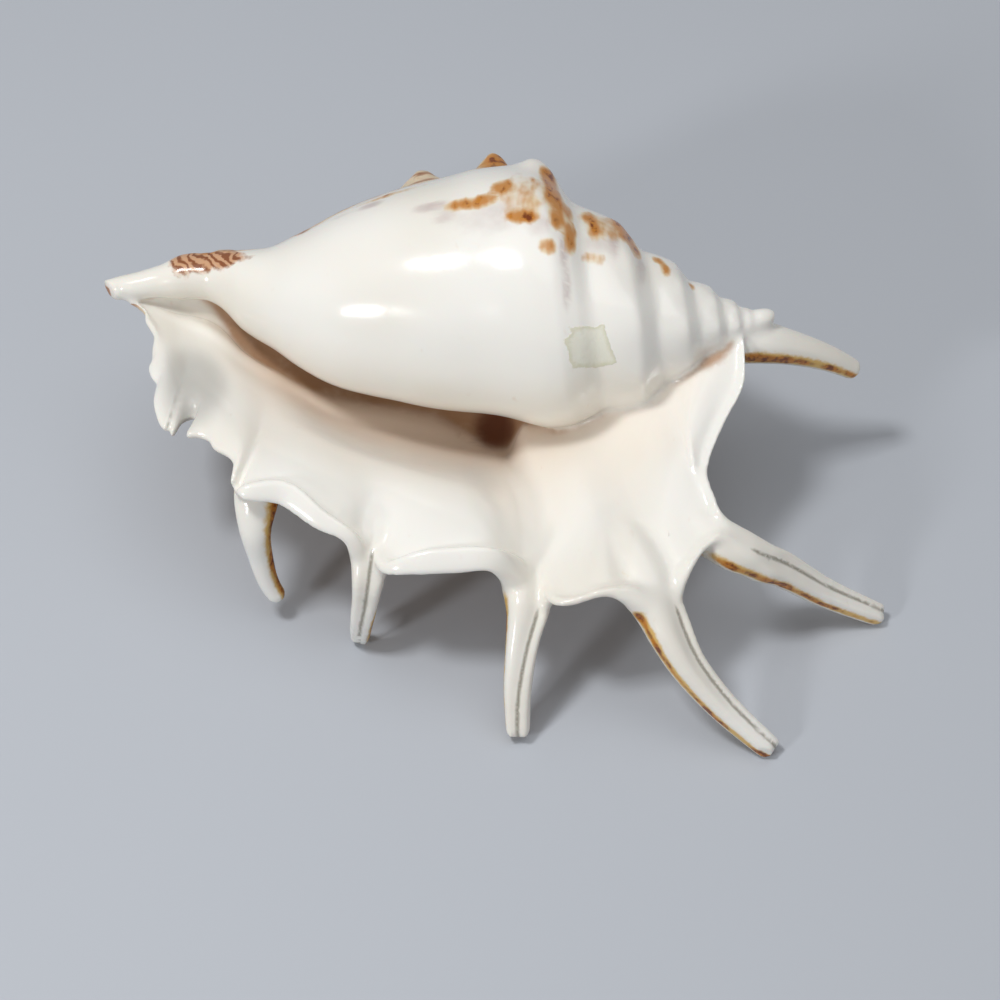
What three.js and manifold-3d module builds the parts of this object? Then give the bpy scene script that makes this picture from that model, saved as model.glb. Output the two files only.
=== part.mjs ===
import * as THREE from 'three';
import Module from 'manifold-3d';

// A spider conch shell lying on its back, so that its opening and its fingered lip face up.
// Millimetres. +X runs along the spire's axis from the siphonal canal to the apex, -Y points to
// the lip, +Z is up. The shell is drawn around the axis below and then moved by frameShift, which
// puts the origin on the floor under the middle of its bounding box.

const frameShift = new THREE.Vector3(0.0, 6.26, 0.0);

// The coiled body. An angle on it is measured around the axis, seen from the apex: 0 is straight
// up, 90 is the back, 180 straight down and 270 the front. Each turn is wholeTurn degrees.
const wholeTurn = 360;
const growthPerTurn = 1.54;
const unitAngle = 50;
const apexX = 61.0;
const bodyLength = 145.6;
const parietalStart = -170;
const lastWhorlFades = 142;
const lastWhorlFaded = 172;
const stretchFade = [50, 85];
const growthFade = [80, 112];
const turnsDrawn = 7;
const sutureBlend = 1.1;
const apexBulb = { middle: 5.4, halfLength: 5.4, radius: 3.1 };

// The axis bends slightly: rows of x, y and z.
const axisRows = [
  [-84.6, 27.9, 38.0],
  [-79, 28.1, 38.7],
  [-72.3, 29.0, 39.5],
  [-65, 30.2, 40.0],
  [-59.5, 29.8, 39.8],
  [-53.9, 26.9, 39.0],
  [-47.1, 25.0, 38.5],
  [-36, 23.1, 38.4],
  [-6.7, 21.5, 39.0],
  [10.6, 19.8, 39.5],
  [21.4, 17.5, 40.0],
  [34.1, 14.7, 40.5],
  [44.8, 13.3, 41.0],
  [52.8, 13.2, 41.7],
  [61, 15.2, 42.9],
];

// Radius of the whorl at unitAngle: rows of distance from the apex and radius.
const whorlRows = [
  [0, 0],
  [22, 0.5],
  [29, 9.0],
  [34, 19.5],
  [36.4, 21.2],
  [40, 22.9],
  [44, 24.2],
  [48.6, 28.2],
  [53.6, 30.6],
  [58, 30.9],
  [63, 30.4],
  [70.5, 28.3],
  [81.5, 25.3],
  [92.2, 21.0],
  [103, 14.5],
  [108.6, 11.0],
  [115.3, 8.4],
  [118.7, 6.7],
  [123.3, 5.0],
  [128.5, 4.7],
  [133.5, 3.4],
  [142.3, 2.5],
  [145.6, 2.0],
];

// Knobs on the shoulder: rows of distance from the apex, angle, height, width along and around.
const knobRows = [
  [50.0, 50, 3.4, 4.8, 5.0],
  [60.5, 75, 7.4, 4.2, 5.5],
  [76.5, 70, 5.2, 4.2, 5.0],
  [57.0, 112, 5.2, 7.0, 7.5],
  [59.5, 154, 9.2, 7.5, 8.5],
  [79.0, 168, 9.9, 8.5, 9.0],
  [78.0, 118, 4.0, 6.5, 6.5],
];
const spireNodules = { perTurn: 9, height: 0.9, at: 52, width: 5.5 };

// The flared lip: rows of place along the axis where it leaves the body, then x, y and z of its rim.
const lipRows = [
  [-78.5, -78.9, 25.4, 37.6],
  [-76.5, -76.6, 23.4, 37.4],
  [-75, -75.2, 20.3, 37.4],
  [-73.5, -74.8, 15.4, 37.8],
  [-71.5, -73.5, 9.3, 38.0],
  [-69.5, -73.2, 2.8, 38.0],
  [-67.5, -71.3, -4.2, 37.6],
  [-65, -68.3, -11.2, 37.0],
  [-61.5, -61.8, -8.0, 36.0],
  [-59.0, -62.6, -13.9, 37.0],
  [-55, -57.3, -17.8, 37.0],
  [-52, -53.5, -22.4, 37.0],
  [-48, -51.7, -30.2, 35.5],
  [-42, -43.2, -30.1, 34.0],
  [-36, -35.7, -34.9, 32.0],
  [-30, -28.5, -38.5, 30.0],
  [-24, -23.0, -44.0, 28.0],
  [-17, -16.3, -44.8, 29.0],
  [-9, -6.9, -44.8, 30.0],
  [-1, 2.4, -44.8, 30.0],
  [4, 6.0, -47.2, 28.0],
  [7, 10.4, -51.6, 25.6],
  [11, 16.1, -52.5, 28.0],
  [17, 24.4, -50.4, 29.0],
  [22, 31.4, -48.1, 29.0],
  [27, 38.7, -47.3, 28.0],
  [32, 43.5, -39.6, 30.0],
  [37, 49.6, -36.5, 30.5],
  [41, 46.6, -26.3, 33.0],
  [44, 46.1, -20.4, 34.0],
  [47, 49.5, -9.7, 36.0],
  [50, 53.8, -1.6, 39.0],
  [53, 54.4, 8.5, 43.0],
];

// Width of the opening between the body and the lip: rows of x and width.
const openingRows = [
  [-90, 4.0],
  [-60, 5.0],
  [-43, 7.0],
  [-12, 9.5],
  [3, 10.5],
  [8.5, 2.5],
  [15, -0.5],
  [24, -3.0],
  [32, -7.0],
  [60, -7.0],
];

// Height of the broad swell across the lip: rows of x where it leaves the body and height.
const swellRows = [
  [-82, 0.0],
  [-60, -1.5],
  [-48, -1.0],
  [-26, 3.0],
  [-8, 1.5],
  [7, -3.0],
  [16, 2.0],
  [22, 0.8],
  [30, 2.2],
  [37, -1.0],
  [53, 0.5],
];

const lip = {
  thickness: 2.8,
  rimRise: 4.5,
  rimRounding: 1.1,
  cavityStart: 190,
  leavesBody: 214,
  outerStart: 142,
  outerStartSunk: 0.6,
  stations: 66,
  acrossBody: 2,
  acrossBack: 6,
  acrossFlare: 7,
};

// Fingers: their middle lines from a rib on the lip's back to the tip, the radii at the root and
// the tip, and the angle of the seam along them, measured from their upper side.
const fingerRows = [
  {
    path: [[-46, -2, 26], [-48, -15, 30.3], [-48.6, -24, 30], [-49.0, -28.6, 25], [-48.3, -30, 17], [-46.9, -31.4, 10],
      [-44.8, -32.4, 5.5]],
    rootRadius: 4.8, tipRadius: 1.8, flare: 0.35, seam: 20,
  },
  {
    path: [[-24, -8, 18.5], [-24, -20, 24.5], [-24.2, -31, 26.8], [-25, -38.5, 23.5], [-26, -40.6, 16], [-27, -40.8, 9],
      [-27.8, -38.9, 0.2]],
    rootRadius: 5.2, tipRadius: 2.1, flare: 0.2, seam: -30,
  },
  {
    path: [[5.6, -8, 13.5], [6.6, -22, 17.6], [7.7, -36, 22.2], [7.8, -45.8, 21.8], [6.4, -53, 16.5], [5.6, -59.4, 9],
      [5.8, -64.8, 0.8]],
    rootRadius: 5.6, tipRadius: 2.4, flare: 0.6, seam: 30,
  },
  {
    path: [[21, -8, 22], [25, -22, 25.7], [30, -38, 26.3], [34.4, -49, 23.5], [39.2, -56.6, 17], [47.4, -62.6, 9],
      [58.4, -68.6, 1.0]],
    rootRadius: 6.0, tipRadius: 2.4, flare: 0.3, seam: 30,
  },
  {
    path: [[34, -12, 29.6], [39, -24, 29.2], [45, -32.5, 27.8], [52, -35.2, 24.6], [60, -34, 18.5], [70.5, -33.6, 9.5],
      [84.0, -33.5, 0.9]],
    rootRadius: 5.2, tipRadius: 2.2, flare: 0.1, seam: 30,
  },
  {
    path: [[36, 14.5, 40], [48, 12, 39.2], [57, 12.8, 37.7], [65, 14, 34.4], [73, 15.4, 29.8], [80.3, 16.6, 24.2]],
    rootRadius: 7.0, tipRadius: 1.8, flare: 0.1, seam: -40,
  },
];
const ribThinning = { factor: 0.2, until: 0.4 };
const fingerSteps = 12;
const fingerSides = 9;
const seamDepth = 0.22;

const bodyRings = 52;
const bodySides = 30;

const degree = Math.PI / 180;

function smoothStep(from, to, value) {
  const share = Math.min(Math.max((value - from) / (to - from), 0), 1);
  return share * share * (3 - 2 * share);
}

function mix(a, b, share) {
  return a + (b - a) * share;
}

// The greater of two values, with the corner between them rounded off.
function softMax(a, b, blend) {
  const closeness = Math.max(blend - Math.abs(a - b), 0) / blend;
  return Math.max(a, b) + closeness * closeness * blend / 4;
}

// A bell of height 1 around 0.
function bell(distance) {
  return Math.exp(-distance * distance);
}

// A smooth curve through rows of [place, value], read from the given column, with no overshoot.
function makeProfile(rows, column) {
  const count = rows.length;
  const steps = [];
  for (let i = 0; i < count - 1; i += 1) {
    steps.push((rows[i + 1][column] - rows[i][column]) / (rows[i + 1][0] - rows[i][0]));
  }
  const slopes = [steps[0]];
  for (let i = 1; i < count - 1; i += 1) {
    const turns = steps[i - 1] * steps[i] <= 0;
    slopes.push(turns ? 0 : 2 * steps[i - 1] * steps[i] / (steps[i - 1] + steps[i]));
  }
  slopes.push(steps[count - 2]);
  return (place) => {
    const held = Math.min(Math.max(place, rows[0][0]), rows[count - 1][0]);
    let i = 0;
    while (i < count - 2 && held > rows[i + 1][0]) {
      i += 1;
    }
    const span = rows[i + 1][0] - rows[i][0];
    const t = (held - rows[i][0]) / span;
    const rise = rows[i + 1][column] - rows[i][column];
    const a = slopes[i] * span - rise;
    const b = rise - slopes[i + 1] * span;
    return rows[i][column] + t * rise + t * (1 - t) * (a * (1 - t) + b * t);
  };
}

const axisY = makeProfile(axisRows, 1);
const axisZ = makeProfile(axisRows, 2);
const whorlRadius = makeProfile(whorlRows, 1);
const opening = makeProfile(openingRows, 1);
const swell = makeProfile(swellRows, 1);

// A point at a distance from the axis, at an angle around it.
function aroundAxis(x, angle, radius) {
  const turn = angle * degree;
  return new THREE.Vector3(x, axisY(x) + radius * Math.sin(turn), axisZ(x) + radius * Math.cos(turn));
}

// How much of each shoulder knob is felt at a place on the last whorl.
function knobHeight(fromApex, angle) {
  let height = 0;
  for (const [along, around, knob, alongWidth, aroundWidth] of knobRows) {
    const radius = whorlRadius(along);
    const sideways = (angle - around) * degree * radius / aroundWidth;
    height += knob * bell((fromApex - along) / alongWidth) * bell(sideways);
  }
  return height;
}

// Radius of the coil at a running angle, which falls by a whole turn for each older whorl.
function coilRadius(fromApex, runningAngle) {
  const grown = growthPerTurn ** ((runningAngle - unitAngle) / wholeTurn);
  const stretch = mix(grown, 1, smoothStep(...stretchFade, fromApex));
  const size = mix(grown, 1, smoothStep(...growthFade, fromApex));
  let radius = size * whorlRadius(fromApex / stretch);
  if (runningAngle > parietalStart) {
    radius += knobHeight(fromApex, runningAngle);
  } else {
    const wave = Math.cos(runningAngle * degree * spireNodules.perTurn);
    const place = (fromApex / stretch - spireNodules.at) / spireNodules.width;
    radius += size * spireNodules.height * wave * bell(place);
  }
  return radius;
}

// The worn, rounded end of the spire.
function apexRadius(fromApex) {
  const place = (fromApex - apexBulb.middle) / apexBulb.halfLength;
  return apexBulb.radius * Math.sqrt(Math.max(0, 1 - place * place));
}

// Outer radius of the whole coil at an angle in the turn that begins at parietalStart.
function bodyRadius(x, angle) {
  const fromApex = apexX - x;
  const previous = coilRadius(fromApex, angle - wholeTurn);
  const last = coilRadius(fromApex, angle);
  let radius = mix(last, Math.min(last, previous), smoothStep(lastWhorlFades, lastWhorlFaded, angle));
  for (let turn = 1; turn < turnsDrawn; turn += 1) {
    radius = softMax(radius, coilRadius(fromApex, angle - turn * wholeTurn), sutureBlend);
  }
  return softMax(radius, apexRadius(fromApex), sutureBlend);
}

// A closed body through rings of points, with a fan over the first and the last ring.
function loft(rings) {
  const sides = rings[0].length;
  const positions = [];
  const triangles = [];
  for (const ring of rings) {
    for (const point of ring) {
      positions.push(point.x, point.y, point.z);
    }
  }
  for (let r = 0; r < rings.length - 1; r += 1) {
    for (let s = 0; s < sides; s += 1) {
      const a = r * sides + s;
      const b = r * sides + (s + 1) % sides;
      triangles.push(a, b, b + sides, a, b + sides, a + sides);
    }
  }
  const ends = [[rings[0], 0, false], [rings[rings.length - 1], (rings.length - 1) * sides, true]];
  for (const [ring, first, last] of ends) {
    const middle = new THREE.Vector3();
    ring.forEach((point) => middle.addScaledVector(point, 1 / sides));
    const centre = positions.length / 3;
    positions.push(middle.x, middle.y, middle.z);
    for (let s = 0; s < sides; s += 1) {
      const a = first + s;
      const b = first + (s + 1) % sides;
      triangles.push(...(last ? [a, b, centre] : [b, a, centre]));
    }
  }
  const geometry = new THREE.BufferGeometry();
  geometry.setAttribute('position', new THREE.Float32BufferAttribute(positions, 3));
  geometry.setIndex(triangles);
  return geometry;
}

function makeBody() {
  const rings = [];
  for (let r = 0; r <= bodyRings; r += 1) {
    const fromApex = 0.4 + (bodyLength - 0.4) * (r / bodyRings) ** 1.25;
    const x = apexX - fromApex;
    const ring = [];
    for (let s = 0; s < bodySides; s += 1) {
      const angle = parietalStart + wholeTurn * s / bodySides;
      ring.push(aroundAxis(x, angle, bodyRadius(x, angle)));
    }
    rings.push(ring);
  }
  return loft(rings);
}

const rimCurve = new THREE.CatmullRomCurve3(
  lipRows.map(([, x, y, z]) => new THREE.Vector3(x, y, z)), false, 'centripetal');

function bezierPoint(a, b, c, d, t) {
  const curve = new THREE.CubicBezierCurve3(a, b, c, d);
  return { point: curve.getPoint(t), tangent: curve.getTangent(t) };
}

// One closed section of the lip: out along its inner face, round the rim and back along its outer face.
function lipSection(place) {
  const row = place * (lipRows.length - 1);
  const before = Math.min(Math.floor(row), lipRows.length - 2);
  const rootX = mix(lipRows[before][0], lipRows[before + 1][0], row - before);
  const edge = rimCurve.getPoint(place);
  const inner = [];
  const outer = [];
  for (let i = 0; i < lip.acrossBody; i += 1) {
    const share = i / lip.acrossBody;
    const angle = mix(lip.cavityStart, lip.leavesBody, share);
    const gap = opening(rootX) * smoothStep(178, lip.leavesBody, angle);
    inner.push(aroundAxis(rootX, angle, bodyRadius(rootX, angle - wholeTurn) + gap));
  }
  for (let i = 0; i < lip.acrossBack; i += 1) {
    const share = i / lip.acrossBack;
    const angle = mix(lip.outerStart, lip.leavesBody, share);
    const clear = (opening(rootX) + lip.thickness) * smoothStep(0, 1, share);
    const radius = Math.max(coilRadius(apexX - rootX, angle), bodyRadius(rootX, angle - wholeTurn) + clear);
    outer.push(aroundAxis(rootX, angle, radius - lip.outerStartSunk * (1 - share)));
  }
  const leaveRadius = bodyRadius(rootX, lip.leavesBody - wholeTurn) + opening(rootX);
  const start = aroundAxis(rootX, lip.leavesBody, leaveRadius);
  const outward = new THREE.Vector3(edge.x - start.x, edge.y - start.y, 0).normalize();
  const rim = edge.clone().addScaledVector(outward, -lip.rimRounding);
  const reach = new THREE.Vector3().subVectors(rim, start);
  const length = reach.length();
  const leaving = reach.clone().normalize().multiplyScalar(0.7);
  leaving.add(new THREE.Vector3(0, -0.25, 0.15)).normalize();
  const startHandle = start.clone().addScaledVector(leaving, 0.35 * length);
  const rimHandle = rim.clone().addScaledVector(outward, -0.32 * length);
  rimHandle.z += lip.rimRise * smoothStep(4, 30, length);
  const outerGap = Math.max(
    coilRadius(apexX - rootX, lip.leavesBody) - leaveRadius, lip.thickness);
  for (let i = 0; i <= lip.acrossFlare; i += 1) {
    const share = i / lip.acrossFlare;
    const { point, tangent } = bezierPoint(start, startHandle, rimHandle, rim, share);
    point.z += swell(rootX) * Math.sin(Math.PI * share) ** 2;
    const along = Math.hypot(tangent.x, tangent.y);
    const down = outward.clone().multiplyScalar(tangent.z);
    down.z = -along;
    down.normalize();
    const full = mix(outerGap, lip.thickness, smoothStep(0, 0.5, share)) * mix(1, 0.8, share ** 4);
    const thickness = full * Math.min(1, 0.2 + length / 14);
    inner.push(point);
    outer.push(point.clone().addScaledVector(down, thickness));
  }
  const rounded = inner[inner.length - 1].clone().lerp(outer[outer.length - 1], 0.5);
  rounded.addScaledVector(outward, lip.rimRounding * Math.min(1, length / 20));
  return [...inner, rounded, ...outer.reverse()];
}

function makeLip() {
  const sections = [];
  for (let i = 0; i <= lip.stations; i += 1) {
    sections.push(lipSection(i / lip.stations));
  }
  return loft(sections);
}

// A finger: a tapered tube that thins to a blunt tip, with its seam pressed in along one side.
function makeFinger({ path, rootRadius, tipRadius, flare, seam }) {
  const curve = new THREE.CatmullRomCurve3(path.map((point) => new THREE.Vector3(...point)));
  const upper = new THREE.Vector3(0, 0, 1);
  const rings = [];
  for (let r = 0; r <= fingerSteps; r += 1) {
    const share = r / fingerSteps;
    const centre = curve.getPointAt(share);
    const tangent = curve.getTangentAt(share);
    upper.addScaledVector(tangent, -upper.dot(tangent)).normalize();
    const side = new THREE.Vector3().crossVectors(tangent, upper);
    const blunt = Math.sqrt(1 - smoothStep(0.9, 1.0, share) * 0.75);
    const thinned = mix(ribThinning.factor, 1, smoothStep(0, ribThinning.until, share));
    const radius = mix(rootRadius, tipRadius, share ** 0.8) * blunt * thinned;
    const ring = [];
    for (let s = 0; s < fingerSides; s += 1) {
      const turn = (seam + wholeTurn * s / fingerSides) * degree;
      const reach = radius * (s === 0 ? 1 - seamDepth : 1);
      const point = centre.clone();
      point.addScaledVector(upper, reach * Math.cos(turn));
      point.addScaledVector(side, reach * Math.sin(turn) * (1 + flare * bell((share - 0.46) / 0.13)));
      ring.push(point);
    }
    rings.push(ring);
  }
  return loft(rings);
}

const wasm = await Module();
wasm.setup();

function signedVolume(geometry) {
  const position = geometry.getAttribute('position');
  const index = geometry.getIndex();
  const [a, b, c] = [new THREE.Vector3(), new THREE.Vector3(), new THREE.Vector3()];
  let volume = 0;
  for (let i = 0; i < index.count; i += 3) {
    a.fromBufferAttribute(position, index.getX(i));
    b.fromBufferAttribute(position, index.getX(i + 1));
    c.fromBufferAttribute(position, index.getX(i + 2));
    volume += a.dot(b.cross(c)) / 6;
  }
  return volume;
}

function toSolid(geometry) {
  const triangles = Array.from(geometry.getIndex().array);
  if (signedVolume(geometry) < 0) {
    triangles.reverse();
  }
  return new wasm.Manifold(new wasm.Mesh({
    numProp: 3,
    vertProperties: geometry.getAttribute('position').array,
    triVerts: Uint32Array.from(triangles),
  }));
}

function toGeometry(solid) {
  const mesh = solid.getMesh();
  const geometry = new THREE.BufferGeometry();
  geometry.setAttribute('position', new THREE.Float32BufferAttribute(mesh.vertProperties, 3));
  geometry.setIndex(Array.from(mesh.triVerts));
  geometry.computeVertexNormals();
  return geometry;
}

function makeShell() {
  let solid = toSolid(makeBody()).add(toSolid(makeLip()));
  for (const finger of fingerRows) {
    solid = solid.add(toSolid(makeFinger(finger)));
  }
  const geometry = toGeometry(solid);
  const material = new THREE.MeshStandardMaterial({ color: 0xf0ece0, roughness: 0.28, metalness: 0 });
  const mesh = new THREE.Mesh(geometry, material);
  mesh.name = 'shell';
  mesh.position.copy(frameShift);
  return mesh;
}

const spiderConch = new THREE.Group();
spiderConch.add(makeShell());

export default spiderConch;
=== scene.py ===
import math
import bmesh
import bpy
import numpy as np
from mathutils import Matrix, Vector
from mathutils.bvhtree import BVHTree
from mathutils.kdtree import KDTree


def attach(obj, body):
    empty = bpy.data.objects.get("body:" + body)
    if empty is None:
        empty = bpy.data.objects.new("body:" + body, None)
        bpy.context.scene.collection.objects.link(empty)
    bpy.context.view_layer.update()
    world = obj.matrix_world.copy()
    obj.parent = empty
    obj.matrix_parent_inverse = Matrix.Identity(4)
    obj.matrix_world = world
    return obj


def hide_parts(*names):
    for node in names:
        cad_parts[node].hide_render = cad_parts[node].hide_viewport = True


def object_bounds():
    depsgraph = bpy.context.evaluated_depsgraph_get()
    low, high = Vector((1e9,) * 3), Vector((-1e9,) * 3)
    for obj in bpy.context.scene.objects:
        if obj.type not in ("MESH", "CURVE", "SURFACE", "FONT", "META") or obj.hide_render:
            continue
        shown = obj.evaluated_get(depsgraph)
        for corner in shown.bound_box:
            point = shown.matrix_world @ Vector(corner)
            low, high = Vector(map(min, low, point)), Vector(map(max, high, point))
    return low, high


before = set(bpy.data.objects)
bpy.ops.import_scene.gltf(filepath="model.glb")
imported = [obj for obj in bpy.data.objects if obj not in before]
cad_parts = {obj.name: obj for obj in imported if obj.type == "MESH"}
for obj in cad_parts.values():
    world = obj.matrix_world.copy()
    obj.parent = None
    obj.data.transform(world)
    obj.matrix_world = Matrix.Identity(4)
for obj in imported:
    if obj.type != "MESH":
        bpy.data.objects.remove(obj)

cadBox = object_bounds()
mm = 0.001

# A spider conch shell on its back, opening upwards. Shapes are worked out in millimetres around
# the coil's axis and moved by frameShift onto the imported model. +X runs from the siphonal canal
# to the apex, -Y is the lip's side.
frameShift = np.array([0.0, 6.26, 0.0])
wholeTurn = 360.0

coil = {
    "growthPerTurn": 1.54,
    "unitAngle": 50.0,
    "apexX": 61.0,
    "length": 145.6,
    "parietalStart": -170.0,
    "lastWhorlFades": (142, 172),
    "stretchFade": (50, 85),
    "growthFade": (80, 112),
    "turnsDrawn": 7,
    "sutureBlend": 6.0,     # how softly one whorl meets the next
    "sutureLeast": 0.15,
    "sutureStart": (0, 30),     # distances from the apex
    "sutureFade": (66, 98),
    "frontSofter": 2.6,     # the same at the lip's side, as a factor
    "frontAngles": (10, -60),
    "cordHeight": 0.14,     # fine cords that run round the outside
    "cordEvery": 2.7,
    "cordsStart": (0, 40),      # degrees past the end of the glaze
    "cordsEnd": (150, 185),
    "frontTrim": 3.1,       # how much slimmer the spire is at the lip's side
    "trimAngles": (-30, -110),
    "trimStart": (4, 14),
    "trimEnd": (36, 50),
    "tipSlant": 0.7,
    "tipFrom": -80.0,
    "apexMiddle": 5.4,
    "apexHalfLength": 5.4,
    "apexRadius": 3.0,
    "nodulesPerTurn": 9,
    "noduleHeight": 0.9,
    "noduleAt": 52.0,
    "noduleWidth": 5.5,
    "ringsDrawn": 300,
    "ringsCloser": 1.25,    # the rings stand closer together at the apex
    "firstRing": 0.4,
    "sidesDrawn": 260,
    # the axis bends slightly: x, y, z
    "axis": [
        (-84.6, 27.9, 38), (-79, 28.1, 38.7), (-72.3, 29, 39.5), (-65, 30.2, 40),
        (-59.5, 29.8, 39.8), (-53.9, 26.9, 39), (-47.1, 25, 38.5), (-36, 23.1, 38.4),
        (-6.7, 21.5, 39), (10.6, 19.8, 39.5), (21.4, 17.5, 40), (34.1, 14.7, 40.5),
        (44.8, 13.3, 41), (52.8, 13.2, 41.7), (61, 15.2, 42.9),
    ],
    # the whorl at unitAngle: distance from the apex, radius
    "whorl": [
        (0, 0), (22, 0.5), (29, 9), (34, 19.5), (36.4, 21.2), (40, 22.9), (44, 24.2),
        (48.6, 28.2), (53.6, 30.6), (58, 30.9), (63, 30.4), (70.5, 28.3), (81.5, 25.3),
        (92.2, 21), (103, 14.5), (108.6, 11), (115.3, 8.4), (118.7, 6.7), (123.3, 5),
        (128.5, 4.7), (133.5, 3.4), (142.3, 2.5), (145.6, 2),
    ],
    # knobs on the shoulder: distance from the apex, angle, height, width along and around
    "knobs": [
        (50, 50, 3.4, 4.8, 5), (60.5, 75, 7.4, 4.2, 5.5), (76.5, 70, 5.2, 4.2, 5),
        (57, 112, 5.2, 7, 7.5), (59.5, 154, 9.2, 7.5, 8.5), (79, 168, 9.9, 8.5, 9),
        (78, 118, 4, 6.5, 6.5), (35.5, -132, 0.9, 4, 12),
    ],
}

flare = {
    "thickness": 2.8,
    "outerThickness": 0.8,  # the rim's thickness as a share of that
    "thinnest": 0.15,       # and the thin part's, beside the canal
    "startsThin": (-79, -66),
    "rimRise": 4.5,
    "riseLengths": (4, 30),     # the face rises to its rim where it is this long
    "rimRounding": 1.1,
    "rimSoftness": 10.0,    # how far small waves of the rim reach along it
    "squareToRim": 0.6,     # how far the sheet turns to meet its rim squarely
    "startSoftness": 9.0,   # the same where the lip leaves the body
    "cavityStart": 190.0,
    "leavesBody": 214.0,
    "outerStart": 142.0,
    "outerStartSunk": 0.6,
    "openingFrom": 178.0,
    "insideShare": -0.3,    # the part inside the body, counted as a share of the face
    "handles": (0.35, 0.32),        # how far the face runs on straight at the body and the rim
    "leavingTurn": (0, -0.25, 0.15),
    "edgePower": 5,         # how close to its two ends the small waves of the face stay
    "shortFace": (14, 20),      # faces shorter than this are thinner, and less round at the rim
    "stations": 560,
    "acrossBody": 20,
    "acrossBack": 40,
    "acrossFlare": 90,
    "acrossRim": 8,
    # the thin scalloped edge between the canal and the first finger:
    # x where the lip leaves the body, then x, y, z of the rim
    "scallops": [
        (-78.5, -80.2, 24.5, 37.6), (-77.8, -79.2, 23.6, 37.6), (-77, -77.3, 23.6, 37.4),
        (-76.2, -75.5, 21.7, 37.4), (-75.4, -75, 18.7, 37.4), (-74.8, -74, 16.8, 37.4),
        (-74.2, -72.8, 14, 37.6), (-73.4, -72.8, 10.4, 37.6), (-72.8, -72.6, 7.4, 37.6),
        (-72.2, -73, 5.1, 37.6), (-71.6, -72.1, 2, 38), (-71, -71, 0.2, 38),
        (-70.2, -71.1, -2.4, 38), (-69.4, -71.1, -5.1, 38), (-68.4, -70.2, -8.7, 38),
        (-67.2, -69, -11.4, 37.6), (-66.6, -68, -12.2, 37.6), (-66, -67.5, -11.5, 37),
        (-65.2, -66.6, -13.2, 37), (-64.6, -65.9, -12, 37), (-63.8, -65.2, -10.2, 37),
        (-63, -64.1, -8.5, 36.4), (-62.2, -62.7, -7.6, 36), (-61.4, -61.6, -8.4, 36),
        (-60.6, -62.6, -10.4, 36.4), (-60, -63.5, -13.5, 37), (-58.8, -61.1, -13.7, 37),
        (-57.4, -58.9, -14.7, 37), (-56, -57.7, -16.8, 37), (-53.6, -54.4, -19.2, 37),
        (-52.6, -53.4, -20.9, 37), (-51.4, -53.4, -23.6, 37), (-50.2, -53.5, -26, 36.6),
    ],
    # the rolled edges between neighbouring fingers: as above, then half the band's width
    "webs": [
        [(-49.8, -52.6, -28.4, 33.8, 0.4), (-49.2, -52.4, -29, 35.6, 0.9),
         (-47, -50.4, -30.2, 35.4, 1.8),
         (-42, -43.2, -30.1, 34, 2.6), (-36, -35.7, -34.9, 32, 2.2),
         (-31, -29.5, -37.7, 30.4, 1.7)],
        [(-22, -20.6, -44, 28, 1.6), (-16, -14.5, -44.8, 29.4, 2.5),
         (-9, -6.9, -44.8, 30, 2.7), (-2, 0.8, -44.6, 30, 2.5)],
        [(8, 13, -51, 26.8, 1.2), (11, 16.1, -52, 28, 1), (17, 24.4, -50.4, 29, 1.2)],
        [(28, 41.4, -43.5, 28.8, 1), (32, 44.5, -38.8, 30, 0.9), (36, 48.4, -36.4, 29.8, 1.2)],
        [(40, 48.6, -31, 31, 1), (41.5, 46.6, -26, 32.5, 0.8),
         (44, 45.6, -20.4, 33.5, 0.65), (47, 49.5, -9.7, 36, 0.65),
         (50, 53.8, -1.6, 39, 0.65), (53, 54.4, 8.5, 43, 0.6)],
    ],
    "bandThickness": 1.05,
    "bandFullness": 0.8,
    "bandTilt": 50.0,       # how steeply the band faces down
    "bandFacing": (0.84, 1.2),
    "bandInset": 0.3,
    "sheetUnderBand": 0.5,
    # width of the opening between body and lip: x, width
    "opening": [
        (-90, 0.5), (-78, 0.8), (-70, 3.2), (-60, 5), (-43, 7), (-12, 9.5), (3, 10.5),
        (7.5, 2.5), (15, -0.5), (24, -3), (32, -7), (60, -7),
    ],
    # height of the broad swell across the lip: x, height
    "swell": [
        (-82, 0), (-60, -1.5), (-48, -1), (-26, 3), (-8, 1.5), (7, -1.5), (17, 1.6),
        (24, 1.2), (31, 1.4), (42, 0.2), (53, 0.5),
    ],
    # the crest between the face and the trough: x, height, place across the face
    "crest": [
        (-76, 0, 0.03), (-68, 0.6, 0.05), (-60, 1.3, 0.08), (-53, 1.6, 0.02), (-42, 1.5, -0.06),
        (-29, 1.3, -0.11), (-14, 1, -0.13), (-4, 0.3, -0.1), (2, 0, -0.1), (60, 0, 0),
    ],
    "crestWidth": 0.07,
    "crestLean": (0, -0.35, 1.0),
}

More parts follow.
